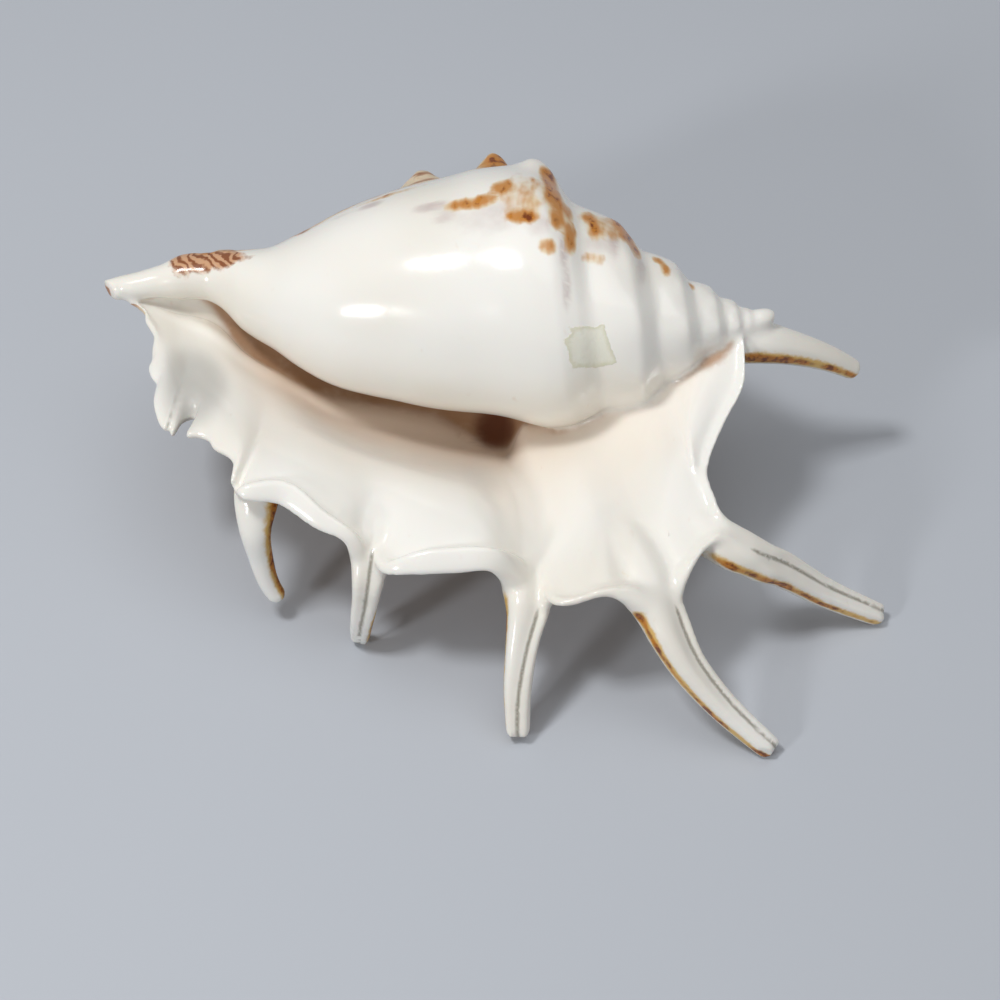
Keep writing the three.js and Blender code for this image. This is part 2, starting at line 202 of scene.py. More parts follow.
fingers = {
    "ribFactor": 0.2,
    "ribUntil": 0.4,
    "ringsDrawn": 110,
    "sidesDrawn": 40,
    "lineSteps": 600,
    "taper": 0.8,
    "tipRounding": 0.04,    # share of a finger's length that its blunt tip takes
    "bluntest": 0.96,
    "coreFrom": (0.45, 0.6),
    "flareAt": 0.46,
    "flareWidth": 0.13,
    "coreSize": 0.78,       # the core under the two walls
    "coreSunk": 0.24,
    "wallHeight": 0.96,
    "wallRows": 7,
    "rollSteps": 14,
    "rollEnd": 1.6,
    "wallOverlap": 1.03,
    "wallSquareness": 0.8,
    # middle line; radius at the root and the tip; widening beside the rim; the x where its part
    # of the lip leaves the body; the left wall's share and the seam's angle, both at root and
    # tip; where the walls leave the rim; how far the lip's face runs out between them; the brown
    # stripe's angle round the finger from its upper side, its width, start and strength
    "walled": [
        {"path": [(-24, -8, 18.5), (-24, -20, 24.5), (-24.2, -31, 26.8), (-25, -38.5, 23.5),
                  (-26, -40.6, 16), (-27, -40.8, 9), (-27.8, -38.9, 0.2)],
         "radius": (5.4, 2.1), "widening": 0.35, "leavesBody": -27, "leftShare": (0.5, 0.5),
         "seamTurn": (10, 0), "walls": 0.54, "tongue": 0.5, "tongueRise": 0.2,
         "stripe": (72, 24, 0.76, 0.9)},
        {"path": [(5.6, -8, 13.5), (6.6, -22, 17.6), (7.7, -36, 22.2), (7.8, -45.8, 21.8),
                  (6.4, -53, 16.5), (5.6, -59.4, 9), (5.8, -64.8, 0.8)],
         "radius": (5.9, 2.5), "widening": 0.6, "leavesBody": 4, "leftShare": (0.68, 0.5),
         "seamTurn": (18, 0), "walls": 0.52, "tongue": 0.58, "tongueRise": 0.3,
         "stripe": (-80, 18, 0.56, 0.85)},
        {"path": [(21, -8, 22), (25, -22, 25.7), (30, -38, 26.3), (34.4, -49, 23.5),
                  (39.2, -56.6, 17), (47.4, -62.6, 9), (58.4, -68.6, 1)],
         "radius": (6.2, 2.5), "widening": 0.4, "leavesBody": 22.5, "leftShare": (0.7, 0.6),
         "seamTurn": (18, 8), "walls": 0.52, "tongue": 0.52, "tongueRise": 0.5,
         "stripe": (-72, 17, 0.41, 1.0)},
        {"path": [(34, -12, 29.6), (39, -24, 29.2), (45, -32.5, 27.8), (52, -35.2, 24.6),
                  (60, -34, 18.5), (70.5, -33.6, 9.5), (84, -33.5, 0.9)],
         "radius": (5.8, 2.4), "widening": 0.1, "leavesBody": 38.5, "leftShare": (0.58, 0.6),
         "seamTurn": (-10, 0), "walls": 0.5, "tongue": 0.42, "tongueRise": 0.75,
         "stripe": (-76, 16, 0.38, 1.0)},
    ],
    # the first finger hangs below its band, and the last stands beside the spire
    "plain": [
        {"path": [(-46, -2, 26), (-48, -15, 30.3), (-48.6, -24, 30), (-49.0, -28.6, 25),
                  (-48.3, -30, 17), (-46.9, -31.4, 10), (-44.8, -32.4, 5.5)],
         "radius": (5.4, 1.9), "widening": 0.35, "stripe": (78, 34, 0.42, 1.0)},
        {"path": [(36, 14.5, 40), (48, 12, 39.2), (57, 12.8, 37.7), (65, 14, 34.4),
                  (73, 15.4, 29.8), (80.3, 16.6, 24.2)],
         "radius": (7.0, 2.2), "widening": 0.1, "stripe": (-90, 20, 0.36, 1.0),
         "outerTurn": -45},
    ],
}

# places of the markings, in the frame of the shapes above
marks = {
    # the glaze ends on the body's far side: x, angle around the axis
    "glazeEnds": [
        (-84, 70), (-72, 45), (-66, 30), (-58, 24), (-53, 32), (-48, 40), (-40, 32), (-25, 41),
        (-12, 46), (0, 44), (8, 52), (14, 50), (20, 46), (30, 56), (40, 66), (60, 80),
    ],
    "glazeFades": 22.0,
    # share of the lip's face that lies in the trough: x, share
    "trough": [
        (-78, -0.4), (-66, -0.35), (-61, -0.2), (-56, -0.05), (-50, -0.05), (-42, -0.10),
        (-29, -0.16), (-14, -0.18), (-4, -0.1), (4, -0.06), (8, -0.02), (15, 0.10),
        (23, 0.11), (31, 0.14), (36, 0.17), (40, 0.22), (45, 0.35), (49, 0.55), (60, 0.9),
    ],
    "troughFades": 0.025,
    # the peach colour near the opening: on the body; wide and narrow on the lip; where it starts
    "peachBody": (0.6, -118, -160),
    "peachWide": (0.35, 0.1, 0.9),
    "peachNarrow": (0.65, -0.05, 0.28),
    "peachStarts": (-64, -46),
    # on the fingers: shares of the length, sizes as shares of the radius, and degrees
    "fingerRead": (0.3, 160),       # where a finger starts to be read, number of places
    "fingerFrom": (0.4, 0.5),
    "fingerFades": (1.25, 1.7),
    "fingerMargin": 8.0,
    "stripeFades": (-0.08, 0.05),
    "outerFrom": (100, 150),
    "seamFades": 0.04,
    "seamWidth": 0.5,
    # x, y, z, half length along the axis, half width across, strength
    "brown": [
        (-7, 25.5, 66, 2.4, 1.7, 0.8), (-2, 25, 67.4, 3, 1.8, 0.85), (2.6, 29.2, 67.5, 2.2, 2.4, 0.9),
        (6.8, 19.6, 68.4, 3, 1.6, 0.9), (8.8, 23.5, 68, 1.2, 2.6, 0.6), (12.4, 36.5, 63.5, 1.8, 5, 1),
        (13.2, 28.5, 66.3, 1.9, 5, 1), (13.9, 21.5, 67, 1.5, 4, 0.9), (11.9, 12.3, 66.8, 1.8, 1.8, 0.7),
        (16.6, 17, 65, 1.1, 4.6, 0.85), (16.2, 25, 65, 1.1, 3.4, 0.7), (21.9, 22, 61, 1.2, 3.6, 0.8),
        (20.8, 27.5, 62, 1.6, 3, 0.8), (21.5, 13.8, 60, 2.8, 1.8, 0.45), (28.7, 23.6, 57.5, 2, 3.6, 0.95),
        (30.4, 20.2, 57, 1.2, 3.4, 0.8), (27, 28, 56.5, 1.6, 3.4, 0.9), (35.5, 20.6, 53.9, 0.9, 1.6, 0.9),
        (36.8, 17.4, 54.3, 0.8, 2.6, 0.9), (42.6, 16.5, 51.5, 0.7, 1.6, 0.5), (1.5, 51.5, 54, 3.6, 5, 1),
        (7.5, 27, 67.5, 6.5, 8, 0.32), (24.5, 24.5, 60, 6, 6, 0.34), (-22, 36, 59, 9, 1.6, 0.42),
    ],
    "lilac": [
        (-12.7, 26.4, 64.4, 3.4, 1.7, 0.8), (-9.6, 22.8, 65.5, 3, 2, 0.5),
        (-25.5, 32.5, 59.1, 2.8, 1.5, 0.8), (-32, 32, 57, 3, 1.2, 0.5),
        (0, 20.5, 68.2, 8, 4, 0.45), (10, 17, 68, 2.5, 3, 0.5),
        (15.2, 13, 65.6, 0.9, 4.5, 0.9), (15.8, 5, 62.2, 0.8, 5, 0.7),
        (25.8, 19, 60, 1.2, 5, 0.8), (31.5, 14, 57.5, 1.2, 5, 0.6),
        (22, 17, 61, 3, 3, 0.4),
    ],
    "neck": [
        (-66.5, 31, 45.4, 3, 3.6, 1), (-62, 30.6, 46.6, 3.4, 3.4, 1),
        (-57, 29.4, 48.2, 3.4, 2.8, 1), (-53, 28, 49.5, 2.4, 1.3, 0.6),
    ],
    # painted shade: a dark hole at the end of the trough, painted onto the lip's surface
    "paintedHoleShade": [(0.9, 10.3, 12.6, 4.3, 5.2, 1.0)],
    # painted shade: the concave bowl behind the notch is painted greyer
    "paintedBowlShade": [(-63.0, 1.0, 36.6, 6.4, 12.0, 0.85)],
    "spotSpread": 1.15,
    "spotDepth": 2.5,
    "smoothing": (3, 0.7),      # passes, strength
}

joined = {
    "voxel": 0.55,
    "snapReach": 1.2,
    "filletReach": 2.4,
    "filletStart": 0.6,
    "filletPasses": 20,
    "filletStrength": 0.6,
    "triangles": 190000,
}


def smoothStep(start, end, value):
    share = np.clip((value - start) / (end - start), 0.0, 1.0)
    return share * share * (3 - 2 * share)


def mix(a, b, share):
    return a + (b - a) * share


def bell(distance):
    return np.exp(-distance * distance)


def unit(vectors):
    return vectors / np.maximum(np.linalg.norm(vectors, axis=-1, keepdims=True), 1e-9)


# the greater of two values, with the corner between them rounded off
def softMax(a, b, blend):
    closeness = np.maximum(blend - np.abs(a - b), 0) / blend
    return np.maximum(a, b) + closeness * closeness * blend / 4


# a smooth curve through rows of (place, value) that doesn't overshoot them
def makeProfile(rows, column=1):
    place = np.array([row[0] for row in rows], float)
    value = np.array([row[column] for row in rows], float)
    steps = np.diff(value) / np.diff(place)
    product = steps[:-1] * steps[1:]
    total = np.where(product > 0, steps[:-1] + steps[1:], 1.0)
    slopes = np.concatenate([steps[:1], np.where(product > 0, 2 * product / total, 0), steps[-1:]])

    def profile(at):
        held = np.clip(at, place[0], place[-1])
        i = np.clip(np.searchsorted(place, held) - 1, 0, len(place) - 2)
        span = place[i + 1] - place[i]
        t = (held - place[i]) / span
        rise = value[i + 1] - value[i]
        a = slopes[i] * span - rise
        b = rise - slopes[i + 1] * span
        return value[i] + t * rise + t * (1 - t) * (a * (1 - t) + b * t)

    return profile


# a centripetal curve through points, read at fractions of a row
def curveThrough(points, at):
    points = np.array(points, float)
    ends = (2 * points[:1] - points[1:2], 2 * points[-1:] - points[-2:-1])
    held = np.concatenate([ends[0], points, ends[1]])
    i = np.clip(np.asarray(at).astype(int), 0, len(points) - 2)
    t = (np.asarray(at) - i)[:, None]
    p0, p1, p2, p3 = (held[i + k] for k in range(4))
    d0, d1, d2 = (np.sqrt(np.linalg.norm(b - a, axis=1, keepdims=True)) + 1e-9
                  for a, b in ((p0, p1), (p1, p2), (p2, p3)))
    m1 = ((p1 - p0) / d0 - (p2 - p0) / (d0 + d1) + (p2 - p1) / d1) * d1
    m2 = ((p2 - p1) / d1 - (p3 - p1) / (d1 + d2) + (p3 - p2) / d2) * d1
    return (p1 + m1 * t + (-3 * p1 + 3 * p2 - 2 * m1 - m2) * t ** 2
            + (2 * p1 - 2 * p2 + m1 + m2) * t ** 3)


axisY = makeProfile(coil["axis"], 1)
axisZ = makeProfile(coil["axis"], 2)
whorlRadius = makeProfile(coil["whorl"])
openingWidth = makeProfile(flare["opening"])
swellHeight = makeProfile(flare["swell"])
crestHeight = makeProfile(flare["crest"])
crestPlace = makeProfile(flare["crest"], 2)
glazeEnds = makeProfile(marks["glazeEnds"])


# a point at a distance from the axis: angle 0 is up, 90 the back, 180 down, 270 the front
def aroundAxis(x, angle, radius):
    turn = np.radians(angle)
    return np.stack([x + 0 * turn, axisY(x) + radius * np.sin(turn),
                     axisZ(x) + radius * np.cos(turn)], axis=-1)


def knobHeight(fromApex, angle):
    height = 0
    for along, around, knob, alongWidth, aroundWidth in coil["knobs"]:
        sideways = np.radians(angle - around) * whorlRadius(along) / aroundWidth
        height = height + knob * bell((fromApex - along) / alongWidth) * bell(sideways)
    return height


# radius of the coil at a running angle, which falls by a whole turn for each older whorl
def coilRadius(fromApex, runningAngle):
    grown = coil["growthPerTurn"] ** ((runningAngle - coil["unitAngle"]) / wholeTurn)
    stretch = mix(grown, 1, smoothStep(*coil["stretchFade"], fromApex))
    size = mix(grown, 1, smoothStep(*coil["growthFade"], fromApex))
    wave = np.cos(np.radians(runningAngle) * coil["nodulesPerTurn"])
    nodule = wave * bell((fromApex / stretch - coil["noduleAt"]) / coil["noduleWidth"])
    relief = np.where(runningAngle > coil["parietalStart"], knobHeight(fromApex, runningAngle),
                      size * coil["noduleHeight"] * nodule)
    return size * whorlRadius(fromApex / stretch) + relief


# outer radius of the whole coil
def bodyRadius(x, angle):
    fromApex = coil["apexX"] - x
    last = coilRadius(fromApex, angle)
    previous = coilRadius(fromApex, angle - wholeTurn)
    radius = mix(last, np.minimum(last, previous), smoothStep(*coil["lastWhorlFades"], angle))
    blend = coil["sutureBlend"] * (1 - smoothStep(*coil["sutureFade"], fromApex))
    softer = mix(1, coil["frontSofter"], smoothStep(*coil["frontAngles"], angle))
    blend = coil["sutureLeast"] + blend * smoothStep(*coil["sutureStart"], fromApex) * softer
    for turn in range(1, coil["turnsDrawn"]):
        older = coilRadius(fromApex, angle - turn * wholeTurn)
        radius = softMax(radius, older, blend)
    fromBulb = (fromApex - coil["apexMiddle"]) / coil["apexHalfLength"]
    bulb = coil["apexRadius"] * np.sqrt(np.maximum(0, 1 - fromBulb ** 2))
    trim = smoothStep(*coil["trimAngles"], angle) * smoothStep(*coil["trimStart"], fromApex)
    trim = trim * (1 - smoothStep(*coil["trimEnd"], fromApex))
    return softMax(radius - coil["frontTrim"] * trim, bulb, blend)


# fine cords round the coil: how far they stand out at x
def cords(x):
    return coil["cordHeight"] * np.cos(2 * np.pi * x / coil["cordEvery"])


def bodyAngles():
    sides = coil["sidesDrawn"]
    return coil["parietalStart"] + wholeTurn * np.arange(sides) / sides


# rings of points round the whole coil, from the apex to the slanted tip of the canal
def bodyRings():
    share = np.linspace(0, 1, coil["ringsDrawn"]) ** coil["ringsCloser"]
    x = coil["apexX"] - mix(coil["firstRing"], coil["length"], share)[:, None]
    angle = bodyAngles()[None, :]
    outside = smoothStep(*coil["cordsStart"], angle - glazeEnds(x))
    outside = outside * (1 - smoothStep(*coil["cordsEnd"], angle))
    rings = aroundAxis(x, angle, bodyRadius(x, angle) + outside * cords(x))
    slanted = coil["tipSlant"] * smoothStep(coil["tipFrom"], coil["axis"][0][0], x)
    behind = rings[..., 1].max(axis=1, keepdims=True) - rings[..., 1]
    rings[..., 0] += slanted * behind
    return rings


# distances along a line
def runAlong(line):
    return np.concatenate([[0], np.cumsum(np.linalg.norm(np.diff(line, axis=0), axis=1))])


# the level direction to the right of a line
def rightOf(line):
    run = unit(np.gradient(line, axis=0) * np.array([1, 1, 0]))
    return np.stack([run[:, 1], -run[:, 0], 0 * run[:, 0]], axis=1)


# angles round a finger or a rolled edge
def sideTurns():
    return np.radians(wholeTurn * np.arange(fingers["sidesDrawn"]) / fingers["sidesDrawn"])


# sums that smooth values along a line, over a distance given for each point of it
def smoothingAlong(line, softness):
    run = runAlong(line)
    held = np.minimum(softness, 0.3 + np.minimum(run, run[-1] - run))
    weights = bell((run[:, None] - run[None, :]) / held[:, None]) * np.gradient(run)[None, :]
    return weights / weights.sum(axis=1, keepdims=True)


# a finger's middle line at shares of its length, with the directions across it and its radius
def fingerLine(finger, share):
    path = finger["path"]
    line = curveThrough(path, np.linspace(0, len(path) - 1, fingers["lineSteps"]))
    run = runAlong(line)
    along = np.gradient(line, run, axis=0)
    uppers = [np.array([0.0, 0.0, 1.0])]
    for tangent in along:
        uppers.append(unit(uppers[-1] - tangent * uppers[-1].dot(tangent)))
    columns = np.concatenate([line, along, np.array(uppers[1:])], axis=1)
    read = np.stack([np.interp(share * run[-1], run, column) for column in columns.T], axis=1)
    centre, tangent, upper = read[:, :3], unit(read[:, 3:6]), unit(read[:, 6:])
    thinned = mix(fingers["ribFactor"], 1, smoothStep(0, fingers["ribUntil"], share))
    radius = mix(*finger["radius"], share ** fingers["taper"]) * thinned
    return centre, upper, np.cross(upper, tangent), radius


def widened(finger, share):
    return 1 + finger["widening"] * bell((share - fingers["flareAt"]) / fingers["flareWidth"])


# the seam's place across a finger, and the directions up from it and across it
def seamFrame(finger, share, upper, right):
    past = smoothStep(finger["walls"], 1, share)
    turn = np.radians(mix(*finger["seamTurn"], past))[:, None]
    facing = upper * np.cos(turn) + right * np.sin(turn)
    across = right * np.cos(turn) - upper * np.sin(turn)
    return mix(*finger["leftShare"], past), facing, across


# rows along a finger's wall, from its root to its tip: place, facing, half width, half thickness
def wallRows(finger, rightHand):
    share = np.linspace(finger["walls"], 1, fingers["wallRows"])
    centre, upper, right, radius = fingerLine(finger, share)
    leftShare, facing, across = seamFrame(finger, share, upper, right)
    reach = radius * widened(finger, share)
    ownShare = 1 - leftShare if rightHand else leftShare
    offset = reach * (leftShare if rightHand else leftShare - 1)
    half = reach * ownShare * fingers["wallOverlap"]
    place = centre + across * offset[:, None]
    return np.column_stack([place, facing, half, radius * fingers["wallHeight"]])


# rows along the rolled edge of a web
def bandRows(web):
    web = np.array(web, float)
    edge, half = web[:, 1:4], web[:, 4]
    outward = rightOf(edge)
    tilt = math.radians(flare["bandTilt"])
    rise = np.array([0, 0, 1.0])
    outerPart, upperPart = flare["bandFacing"]
    facing = outward * math.sin(tilt) * outerPart + rise * math.cos(tilt) * upperPart
    slope = outward * math.cos(tilt) - rise * math.sin(tilt)
    place = edge - slope * half[:, None] - outward * flare["bandInset"]
    thick = np.minimum(half * flare["bandFullness"], flare["bandThickness"])
    return np.column_stack([place, unit(facing), half, thick])


# every rolled edge runs from the tip of one finger along the web to the tip of the next
def rolledEdges():
    edges = []
    for i, web in enumerate(flare["webs"]):
        rows = [bandRows(web)]
        if i > 0:
            rows.insert(0, wallRows(fingers["walled"][i - 1], True)[::-1])
        if i < len(fingers["walled"]):
            rows.append(wallRows(fingers["walled"][i], False))
        edges.append(np.concatenate(rows))
    return edges


# rings of points round one rolled edge
def rollRings(rows):
    count = len(rows)
    line = curveThrough(rows, np.linspace(0, count - 1, count * fingers["rollSteps"]))
    place, facing = line[:, :3], line[:, 3:6]
    run = runAlong(place)
    along = unit(np.gradient(place, axis=0))
    facing = unit(facing - along * np.sum(facing * along, axis=1, keepdims=True))
    across = np.cross(along, facing)
    toEnd = np.minimum(run, run[-1] - run)
    blunt = np.sqrt(1 - np.clip(1 - toEnd / fingers["rollEnd"], 0, fingers["bluntest"]) ** 2)
    turn = sideTurns()
    beside, over = (np.sign(part) * np.abs(part) ** fingers["wallSquareness"]
                    for part in (np.cos(turn)[:, None], np.sin(turn)[:, None]))
    wide = (line[:, 6] * blunt)[:, None, None] * across[:, None, :]
    thick = (line[:, 7] * blunt)[:, None, None] * facing[:, None, :]
    return place[:, None, :] + beside * wide + over * thick


# the rim of the lip's sheet: the scallops, then along inside the rolled edges, with a tongue
# running out between the two walls of each finger
def sheetRim():
    rows = [np.array(flare["scallops"], float)]
    for i, web in enumerate(flare["webs"]):
        band = bandRows(web)[:, :3] - np.array([0, 0, flare["sheetUnderBand"]])
        rows.append(np.column_stack([np.array(web)[:, 0], band]))
        if i < len(fingers["walled"]):
            finger = fingers["walled"][i]
            centre, upper, _, radius = fingerLine(finger, np.array([finger["tongue"]]))
            end = centre[0] + upper[0] * radius[0] * finger["tongueRise"]
            rows.append([[finger["leavesBody"], *end]])
    rows = np.concatenate(rows)
    row = np.linspace(0, len(rows) - 1, flare["stations"])
    edge = curveThrough(rows[:, 1:], row)
    root = np.interp(row, np.arange(len(rows)), rows[:, 0])
    soften = smoothingAlong(edge, flare["rimSoftness"])
    return soften @ root, soften @ edge, edge


# the crest beside the trough: how far it lifts the lip at a share of the way across
def crestRise(x, share):
    height = crestHeight(x) * bell((share - crestPlace(x)) / flare["crestWidth"])
    return height[..., None] * np.array(flare["crestLean"])


def wallThickness(x):
    return flare["thickness"] * mix(flare["thinnest"], 1, smoothStep(*flare["startsThin"], x))


# the lip where it lies on the coil: the wall of the opening, and the outer side
def lipOnBody(x):
    leaves = flare["leavesBody"]
    angle = np.linspace(flare["cavityStart"], leaves, flare["acrossBody"], endpoint=False)[None]
    gap = openingWidth(x) * smoothStep(flare["openingFrom"], leaves, angle)
    inside = aroundAxis(x, angle, bodyRadius(x, angle - wholeTurn) + gap)
    share = np.linspace(flare["insideShare"], 0, flare["acrossBody"], endpoint=False)[None]
    inside += crestRise(x, share)
    share = np.linspace(0, 1, flare["acrossBack"], endpoint=False)[None]
    angle = mix(flare["outerStart"], leaves, share)
    clear = (openingWidth(x) + wallThickness(x)) * smoothStep(0, 1, share)
    radius = np.maximum(coilRadius(coil["apexX"] - x, angle),
                        bodyRadius(x, angle - wholeTurn) + clear)
    back = aroundAxis(x, angle, radius - flare["outerStartSunk"] * (1 - share) + cords(x))
    return inside, back


# the lip's free inner face, a curve from the body to the rim at each station, then its slope, the
# direction out past the rim and the curve's length
def lipFace(rootX, leaveRadius, broad, edge, t):
    exactStart = aroundAxis(rootX, np.full_like(rootX, flare["leavesBody"]), leaveRadius)
    start = smoothingAlong(exactStart, flare["startSoftness"]) @ exactStart
    across = unit((broad - start) * np.array([1, 1, 0]))
    outward = unit(across + rightOf(broad) * flare["squareToRim"])
    rim = broad - outward * flare["rimRounding"]
    reach = rim - start
    length = np.linalg.norm(reach, axis=1)
    leaving = unit(unit(reach) * 0.7 + np.array(flare["leavingTurn"]))
    atBody, atRim = flare["handles"]
    startHandle = start + leaving * (atBody * length)[:, None]
    rimHandle = rim - outward * (atRim * length)[:, None]
    rimHandle[:, 2] += flare["rimRise"] * smoothStep(*flare["riseLengths"], length)
    a, b, c, d = (p[:, None, :] for p in (start, startHandle, rimHandle, rim))
    s = t[..., None]
    face = a * (1 - s) ** 3 + 3 * b * s * (1 - s) ** 2 + 3 * c * s ** 2 * (1 - s) + d * s ** 3
    slope = 3 * ((b - a) * (1 - s) ** 2 + 2 * (c - b) * s * (1 - s) + (d - c) * s ** 2)
    x = rootX[:, None]
    face[..., 2] += swellHeight(x) * np.sin(np.pi * t) ** 2
    face += crestRise(x, t)
    face += (edge - broad)[:, None, :] * s ** flare["edgePower"]
    face += (exactStart - start)[:, None, :] * (1 - s) ** flare["edgePower"]
    return face, slope, outward, length


# closed sections of the lip: out along its inner face, round the rim and back along the outer
def lipSections():
    rootX, broad, edge = sheetRim()
    x = rootX[:, None]
    inside, back = lipOnBody(x)
    leaves = flare["leavesBody"]
    leaveRadius = bodyRadius(rootX, leaves - wholeTurn) + openingWidth(rootX)
    t = np.linspace(0, 1, flare["acrossFlare"])[None, :]
    face, slope, outward, length = lipFace(rootX, leaveRadius, broad, edge, t)
    level = np.hypot(slope[..., 0], slope[..., 1])
    down = slope * (slope[..., 2] / np.maximum(level, 1e-6))[..., None]
    down[..., 2] = -level
    outerGap = np.maximum(coilRadius(coil["apexX"] - rootX, leaves) - leaveRadius,
                          wallThickness(rootX))[:, None]
    full = mix(outerGap, flare["thickness"], smoothStep(0, 0.5, t))
    full = full * mix(1, flare["outerThickness"], t ** 4)
    thinner, flatter = flare["shortFace"]
    thickness = full * np.minimum(1, 0.2 + length / thinner)[:, None]
    thickness += cords(x) * smoothStep(0.98, 0.8, t) * smoothStep(0, flatter, length)[:, None]
    under = face + unit(down) * thickness[..., None]
    turn = np.linspace(0, np.pi, flare["acrossRim"] + 2)[None, 1:-1, None]
    top, low = face[:, -1:, :], under[:, -1:, :]
    fullness = np.minimum(1, length / flatter)[:, None, None]
    bulge = outward[:, None, :] * flare["rimRounding"] * fullness
    rounded = (top + low) / 2 + (top - low) / 2 * np.cos(turn) + bulge * np.sin(turn)
    return np.concatenate([inside, face, rounded, under[:, ::-1], back[:, ::-1]], axis=1)


# rings of points round a finger; past the rim a core is smaller and sunk under the two walls
def fingerRings(finger, size=1.0, sunk=0.0):
    share = np.linspace(0, 1, fingers["ringsDrawn"])
    centre, upper, right, radius = fingerLine(finger, share)
    turn = sideTurns()
    toTip = (share - (1 - fingers["tipRounding"])) / fingers["tipRounding"]
    blunt = np.sqrt(1 - np.clip(toTip, 0, fingers["bluntest"]) ** 2)
    past = smoothStep(*fingers["coreFrom"], share)
    reach = radius * blunt * mix(1, size, past)
    middle = centre - upper * (radius * sunk * past)[:, None]
    over = reach[:, None, None] * upper[:, None, :] * np.cos(turn)[:, None]
    wide = reach * mix(widened(finger, share), 1, past * (size < 1))
    beside = wide[:, None, None] * right[:, None, :] * np.sin(turn)[:, None]
    return middle[:, None, :] + over + beside


# a closed skin through rings of points: a grid is laid on them, its seam welded, its ends closed
def loftSkin(rings):
    count, sides = rings.shape[:2]
    skin = bmesh.new()
    bmesh.ops.create_grid(skin, x_segments=count - 1, y_segments=sides, size=1.0)
    for vertex in skin.verts:
        ring = round((vertex.co.x + 1) / 2 * (count - 1))
        side = round((vertex.co.y + 1) / 2 * sides) % sides
        vertex.co = rings[ring, side]
    bmesh.ops.remove_doubles(skin, verts=skin.verts, dist=1e-4)
    bmesh.ops.holes_fill(skin, edges=skin.edges, sides=0)
    bmesh.ops.triangulate(skin, faces=[face for face in skin.faces if len(face.verts) > 4])
    bmesh.ops.recalc_face_normals(skin, faces=skin.faces)
    return skin


def addObject(name, data):
    made = bpy.data.objects.new(name, data)
    bpy.context.scene.collection.objects.link(made)
    return made


# an object's mesh with its modifiers worked in
def bakedMesh(made):
    graph = bpy.context.evaluated_depsgraph_get()
    return bpy.data.meshes.new_from_object(made.evaluated_get(graph))


def readPoints(mesh):
    flat = np.empty(len(mesh.vertices) * 3)
    mesh.vertices.foreach_get("co", flat)
    return flat.reshape(-1, 3)


def writePoints(mesh, points):
    mesh.vertices.foreach_set("co", np.ascontiguousarray(points).ravel())
    mesh.update()


# the parts melt into one skin, through a fine voxel grid
def meltTogether(skins):
    together = bpy.data.meshes.new("shellParts")
    everything = bmesh.new()
    for skin in skins:
        part = bpy.data.meshes.new("part")
        skin.to_mesh(part)
        everything.from_mesh(part)
        bpy.data.meshes.remove(part)
    everything.to_mesh(together)
    everything.free()
    parts = addObject("shellParts", together)
    remesh = parts.modifiers.new("melt", "REMESH")
    remesh.mode = "VOXEL"
    remesh.voxel_size = joined["voxel"]
    melted = bakedMesh(parts)
    bpy.data.objects.remove(parts)
    return melted


# distance of each point to a skin, and the nearest place on it
def nearestOn(tree, points, reach):
    places = points.copy()
    distances = np.full(len(points), reach)
    for i, point in enumerate(points):
        place, _, _, distance = tree.find_nearest(point, reach)
        if place is not None:
            places[i] = place
            distances[i] = distance
    return places, distances


def neighbourMean(values, edges, counts):
    total = np.zeros_like(values)
    np.add.at(total, edges[:, 0], values[edges[:, 1]])
    np.add.at(total, edges[:, 1], values[edges[:, 0]])
    return total / counts


# how strongly a list of soft spots is felt at each point; a spot may reach deeper than wide
def spots(points, rows, deep=1.0):
    felt = np.zeros(len(points))
    for x, y, z, along, across, strength in rows:
        offset = points - np.array([x, y, z])
        away = unit(np.array([0, y - axisY(x), z - axisZ(x)]))
        depth = offset @ away
        beside = offset - depth[:, None] * away
        along, across = along * marks["spotSpread"], across * marks["spotSpread"]
        distance = (beside[:, 0] / along) ** 2 + (depth / (across * deep)) ** 2
        distance += (beside[:, 1] ** 2 + beside[:, 2] ** 2) / across ** 2
        felt = np.maximum(felt, strength * bell(distance))
    return felt


# the lip's and the coil's marks: how far out of the glaze, in the trough (its tan partly painted shade),
# near the opening
def skinMarks(body, lip):
    x, angle = body[..., 0], bodyAngles()[None, :]
    outer = [np.clip(0.5 + (angle - glazeEnds(x)) / marks["glazeFades"], 0, 1)]
    troughTanAndShade = [0 * x]
    strength, *ends = marks["peachBody"]
    peach = [strength * smoothStep(*ends, angle) + 0 * x]
    counts = [flare["acrossBody"], flare["acrossFlare"], flare["acrossRim"],
              flare["acrossFlare"], flare["acrossBack"]]
    share = np.concatenate([np.linspace(flare["insideShare"], 0, counts[0]),
                            np.linspace(0, 1, counts[1]), np.ones(counts[2]),
                            np.linspace(1, 0, counts[3]), np.zeros(counts[4])])
    inside = np.repeat([1.0, 1.0, 0.8, 0.0, 0.0], counts)
    rootX = lip[:, 0, 0][:, None]
    trough = makeProfile(marks["trough"])(rootX)
    outer.append(1 - inside[None, :] + 0 * rootX)
    fades = marks["troughFades"]
    # the trough's tan: partly its own colour, partly painted shade under the body's edge
    troughTanAndShade.append(inside * (1 - smoothStep(trough - fades, trough + fades, share[None, :])))
    near = 0
    for strength, *ends in (marks["peachWide"], marks["peachNarrow"]):
        near = near + strength * (1 - smoothStep(*ends, share[None, :]))
    peach.append(near * inside * smoothStep(*marks["peachStarts"], rootX))
    return [np.concatenate([part.ravel() for part in parts]) for parts in (outer, troughTanAndShade, peach)]


def placeTree(places):
    tree = KDTree(len(places))
    for i, place in enumerate(places):
        tree.insert(place, i)
    tree.balance()
    return tree


